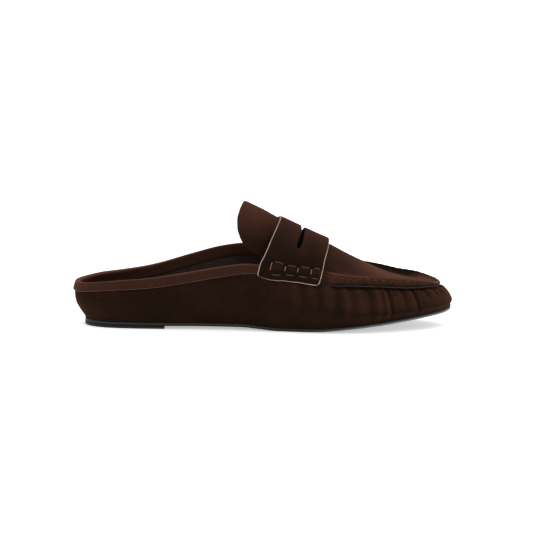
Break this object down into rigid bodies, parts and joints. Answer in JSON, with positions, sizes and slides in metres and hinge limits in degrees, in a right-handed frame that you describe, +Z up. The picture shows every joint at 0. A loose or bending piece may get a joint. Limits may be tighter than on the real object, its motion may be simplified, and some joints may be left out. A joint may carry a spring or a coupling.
{
  "type": "loafer mule",
  "caption": "Backless low loafer for the right foot with a moccasin apron, standing tongue, slotted saddle strap and thin sole with a low heel.",
  "frame": {"origin": "on the floor plane, under the middle of the shoe's bounding box", "axes": "+X to the toe, +Y to the inner side of the foot, +Z up"},
  "size_m": [0.26, 0.0896, 0.0853],
  "materials": {
    "suede": "dark brown suede with a short nap",
    "binding": "brown suede binding, a little lighter",
    "lining": "smooth dark lining leather",
    "sole": "matt black rubber"
  },
  "bodies": {
    "root": {"outsole": "sole", "heel_lift": "sole", "insole": "lining", "upper": "suede", "plug": "suede", "tongue": "suede", "saddle_strap": "suede", "collar_band": "binding"}
  },
  "joints": []
}
